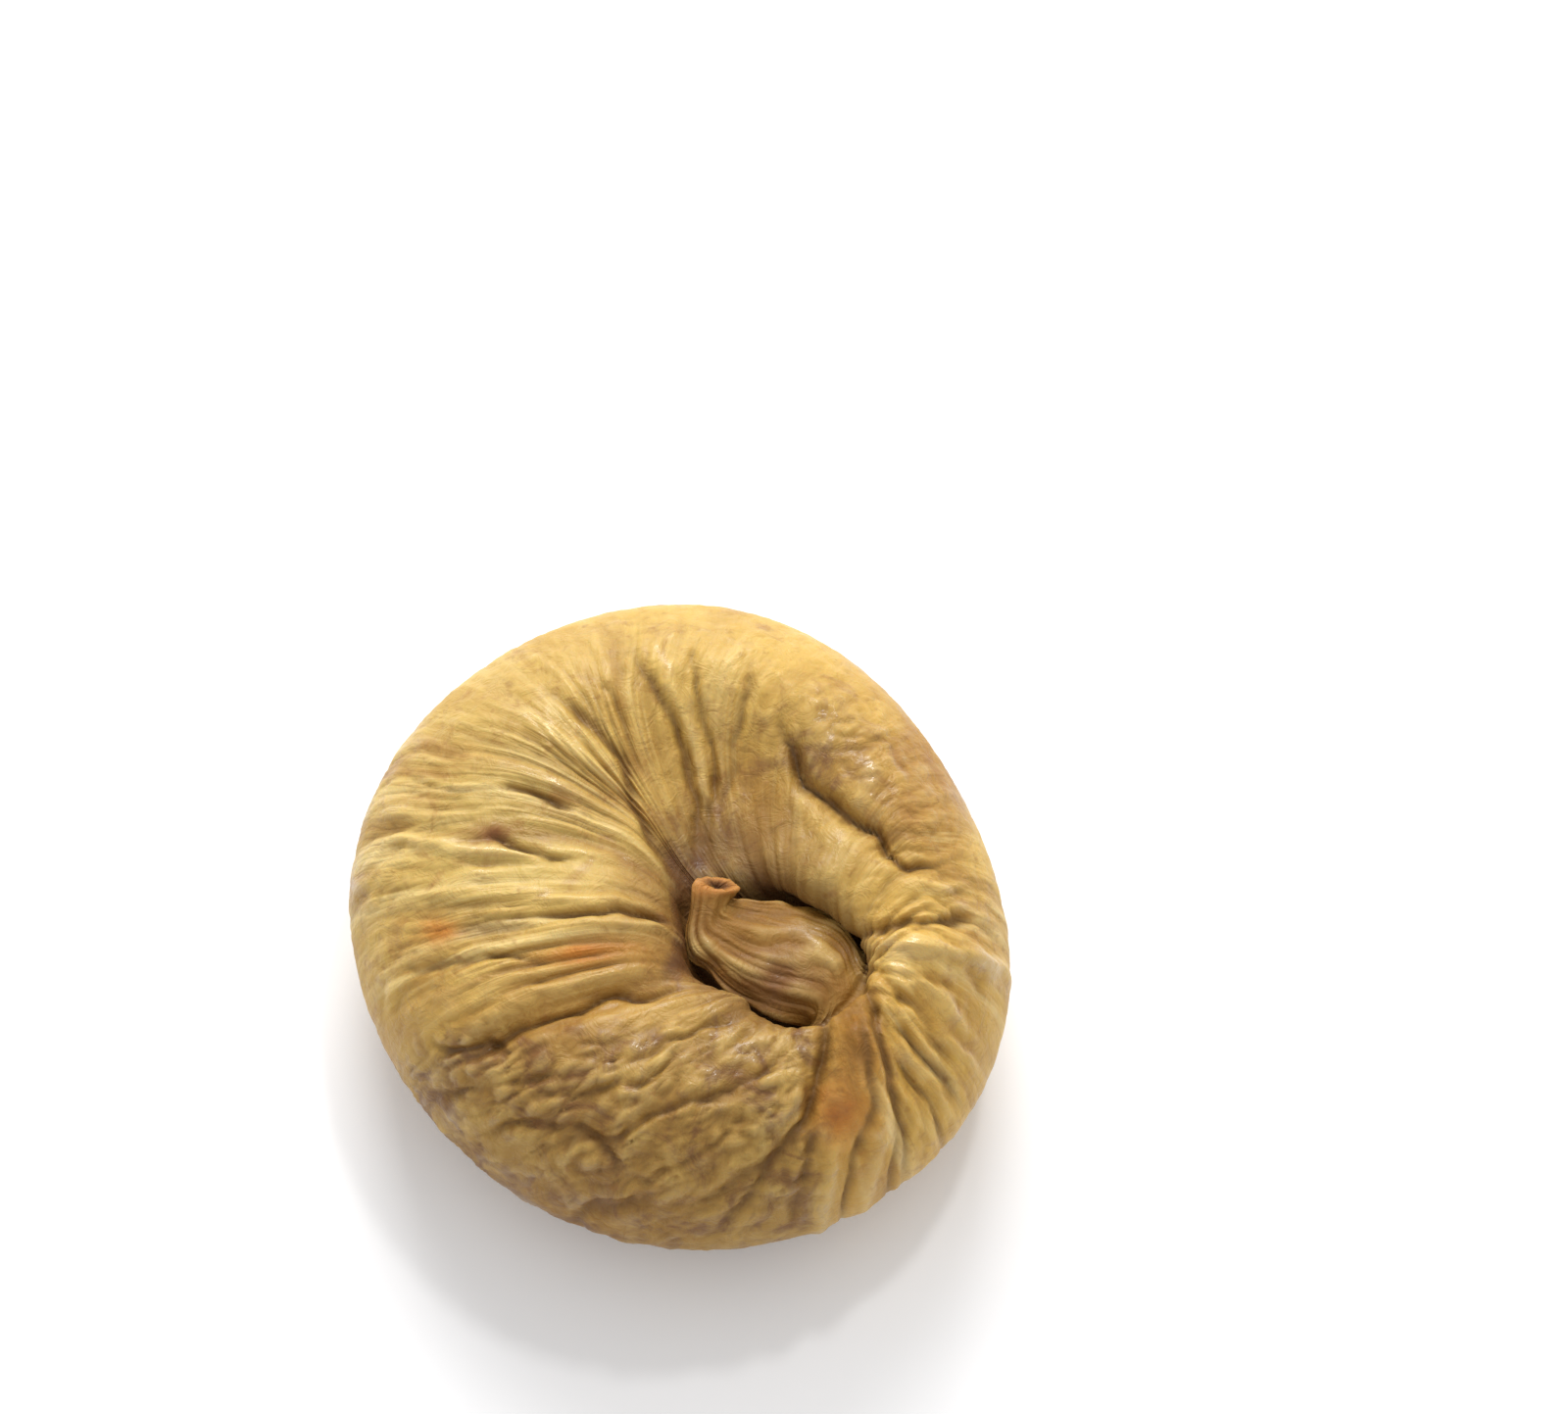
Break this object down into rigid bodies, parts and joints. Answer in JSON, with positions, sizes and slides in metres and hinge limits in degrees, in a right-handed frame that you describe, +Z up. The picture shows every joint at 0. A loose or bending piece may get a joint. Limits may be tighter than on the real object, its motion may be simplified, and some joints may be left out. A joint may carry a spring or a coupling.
{
  "type": "dried fig",
  "caption": "Whole dried fig pressed into a thick wrinkled disc, with its neck folded over a pit in the top; rests flat on its eye side.",
  "frame": {"origin": "on the resting surface, under the middle of the fruit's width and depth", "axes": "+Z up, away from the eye side that the fruit rests on; the stalk side faces +Z and the neck's cut stub points towards -X and +Y"},
  "size_m": [0.048, 0.0488, 0.0193],
  "materials": {
    "fig_skin": "wrinkled dry fruit skin, golden ochre, satin with small waxy highlights"
  },
  "bodies": {
    "root": {"fig": "fig_skin"}
  },
  "joints": []
}
